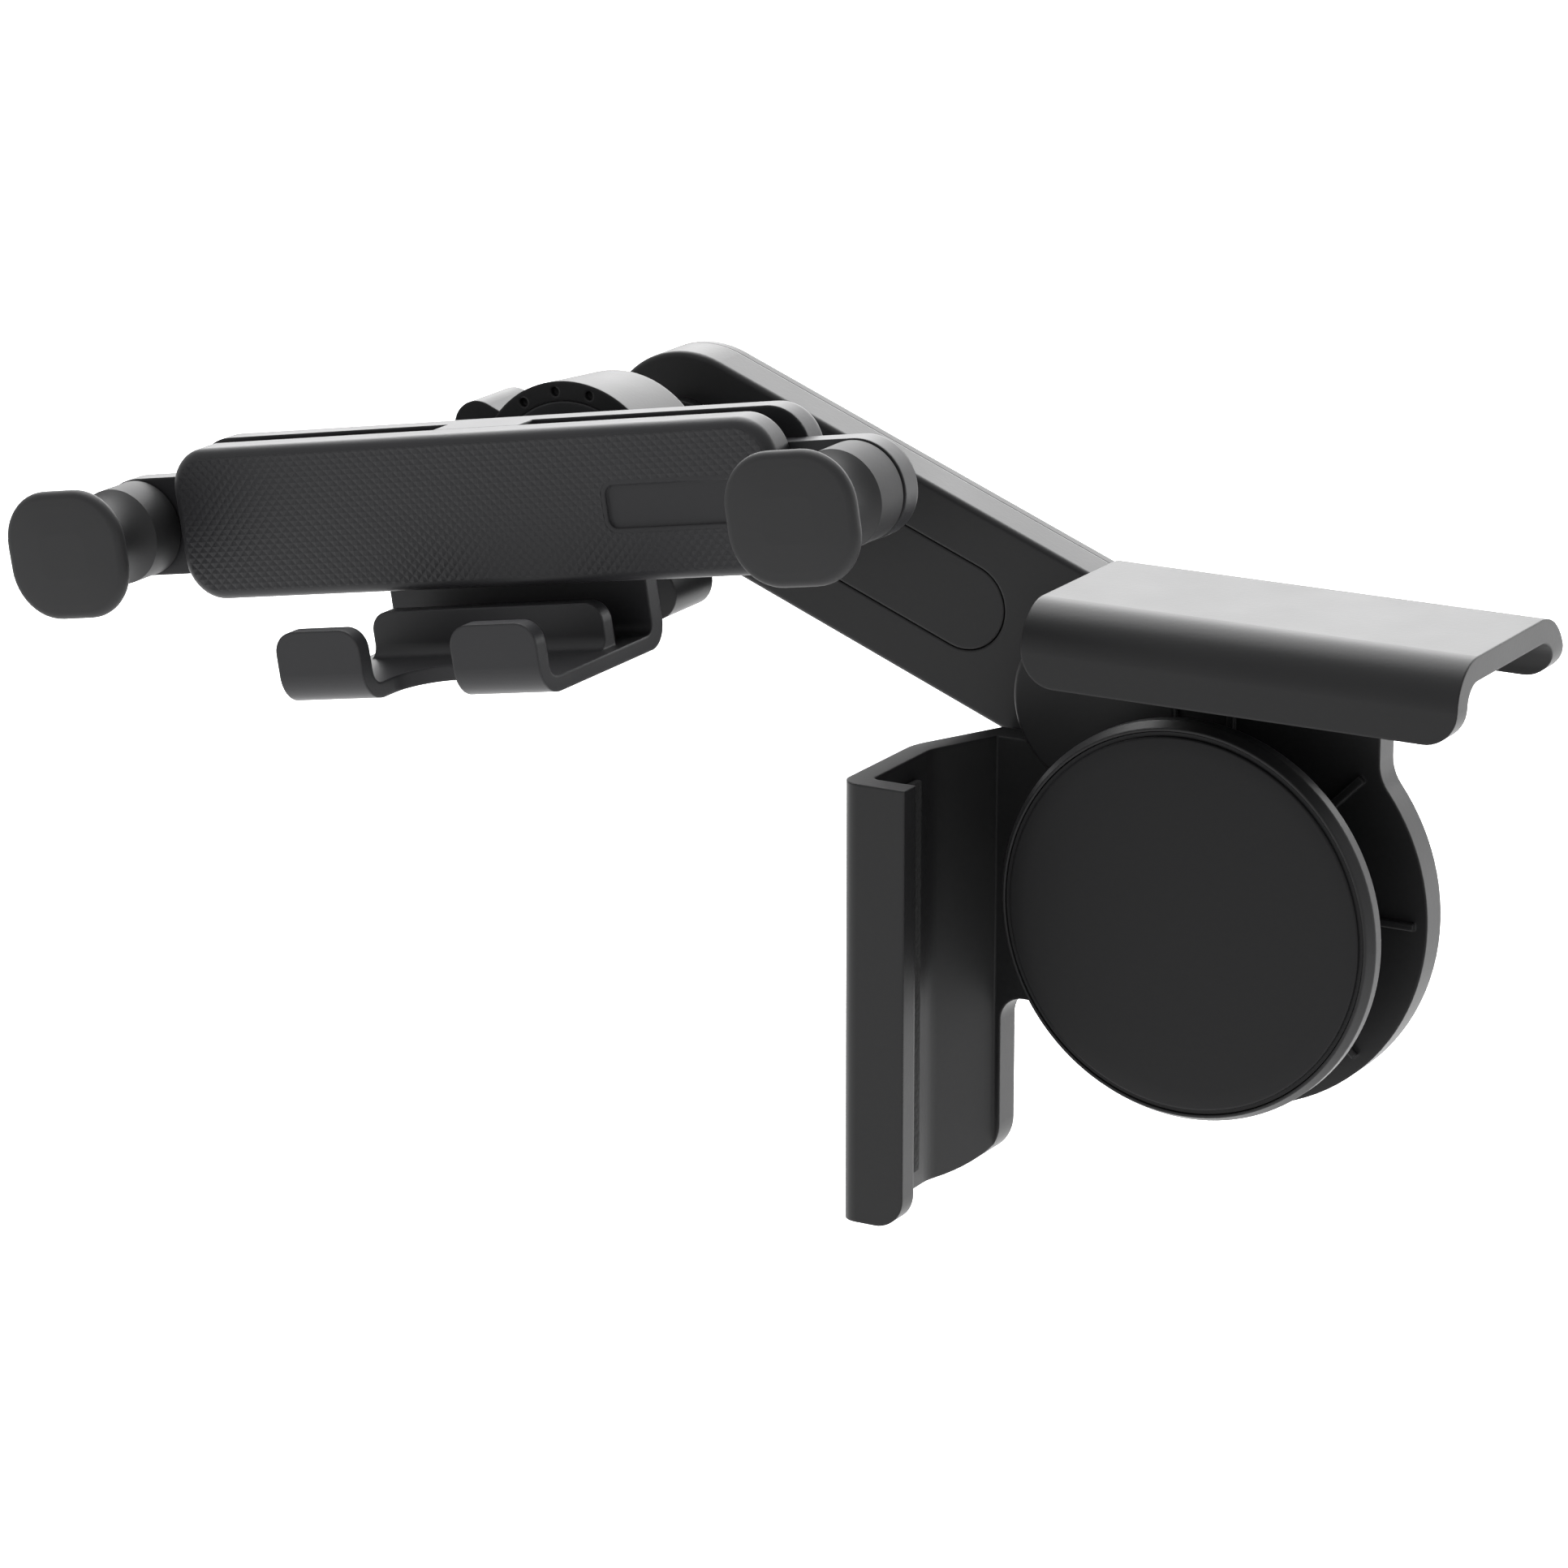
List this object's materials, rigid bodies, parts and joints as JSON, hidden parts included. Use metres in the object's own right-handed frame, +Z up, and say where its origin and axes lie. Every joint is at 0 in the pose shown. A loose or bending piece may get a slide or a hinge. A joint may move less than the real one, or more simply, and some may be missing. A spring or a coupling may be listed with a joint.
{
  "type": "car phone holder",
  "caption": "Black phone holder for a car that clamps on a screen's corner: screw clamp with two hooks, swinging arm, ball joint, spring cradle with side grips and a sliding foot.",
  "frame": {"origin": "centre of the front face of the round clamp pad, which presses on the back of the screen", "axes": "X to the right along the screen, Y to the back away from the viewer, Z up"},
  "size_m": [0.1354, 0.0601, 0.0786],
  "materials": {
    "black_abs": "fine spark-eroded matte black moulded ABS",
    "soft_rubber": "matte moulded silicone rubber",
    "foam": "closed-cell foam strip",
    "nylon": "smooth black nylon",
    "zinc_steel": "zinc-plated steel",
    "brass_insert": "turned brass"
  },
  "bodies": {
    "clamp": {"clamp_frame": "black_abs", "top_clip_liner": "foam", "side_clip_liner": "foam", "threaded_insert": "brass_insert", "pivot_cap": "black_abs", "pivot_washer": "nylon"},
    "pad": {"clamp_pad": "soft_rubber", "pad_plate": "black_abs"},
    "knob": {"clamp_knob": "black_abs", "clamp_screw": "zinc_steel"},
    "arm": {"arm_shell": "black_abs", "arm_rear_cover": "black_abs", "arm_inlay": "black_abs", "arm_screws": "zinc_steel", "ball_stud": "nylon", "pivot_bolt": "zinc_steel", "pivot_nut": "zinc_steel"},
    "ball_yaw": {"rear_ball_liner": "nylon"},
    "ball_tilt": {"front_ball_liner": "nylon"},
    "cradle": {"cradle_front_plate": "black_abs", "cradle_rear_shell": "black_abs", "cradle_screws": "zinc_steel", "closing_spring": "zinc_steel"},
    "nut": {"ball_nut": "black_abs"},
    "left": {"left_arm": "black_abs", "left_grip": "soft_rubber"},
    "right": {"right_arm": "black_abs", "right_grip": "soft_rubber"},
    "pinion": {"drive_pinion": "nylon"},
    "foot": {"foot_bracket": "black_abs"}
  },
  "joints": [
    {"name": "pad_travel", "type": "slide", "parent": "clamp", "child": "pad", "axis": [0, -1, 0], "range_m": [-0.003, 0.006]},
    {"name": "knob_turn", "type": "hinge", "parent": "pad", "child": "knob", "pos_m": [0, 0.004, 0], "axis": [0, -1, 0], "range_deg": [-545, 1085]},
    {"name": "arm_swing", "type": "hinge", "parent": "clamp", "child": "arm", "pos_m": [-0.0137, 0.0155, 0.0165], "axis": [0, 1, 0], "range_deg": [-40, 50]},
    {"name": "ball_yaw", "type": "hinge", "parent": "arm", "child": "ball_yaw", "pos_m": [-0.05948, -0.0018, 0.03453], "axis": [0, 0, 1], "range_deg": [-15, 15]},
    {"name": "ball_tilt", "type": "hinge", "parent": "ball_yaw", "child": "ball_tilt", "pos_m": [-0.05948, -0.0018, 0.03453], "axis": [1, 0, 0], "range_deg": [-15, 15]},
    {"name": "cradle_roll", "type": "hinge", "parent": "ball_tilt", "child": "cradle", "pos_m": [-0.05948, -0.0018, 0.03453], "axis": [0, 1, 0], "range_deg": [-100, 100]},
    {"name": "nut_turn", "type": "hinge", "parent": "cradle", "child": "nut", "pos_m": [-0.05948, -0.0018, 0.03453], "axis": [0, 1, 0], "range_deg": [-60, 90]},
    {"name": "right_slide", "type": "slide", "parent": "cradle", "child": "right", "axis": [0.9863, 0, 0.165], "range_m": [0, 0.011], "stiffness_N_per_m": 150, "springref_m": -0.01},
    {"name": "left_slide", "type": "slide", "parent": "cradle", "child": "left", "axis": [-0.9863, 0, -0.165], "range_m": [0, 0.011]},
    {"name": "pinion_turn", "type": "hinge", "parent": "cradle", "child": "pinion", "pos_m": [-0.05969, -0.01995, 0.03581], "axis": [0, 1, 0], "range_deg": [-5, 216]},
    {"name": "foot_slide", "type": "slide", "parent": "cradle", "child": "foot", "axis": [0.165, 0, -0.9863], "range_m": [0, 0.008]}
  ],
  "couplings": [
    {"joint": "knob_turn", "follows": "pad_travel", "rad_per_m": 3141.6},
    {"joint": "left_slide", "follows": "right_slide", "ratio": 1},
    {"joint": "pinion_turn", "follows": "right_slide", "rad_per_m": 333.33}
  ]
}
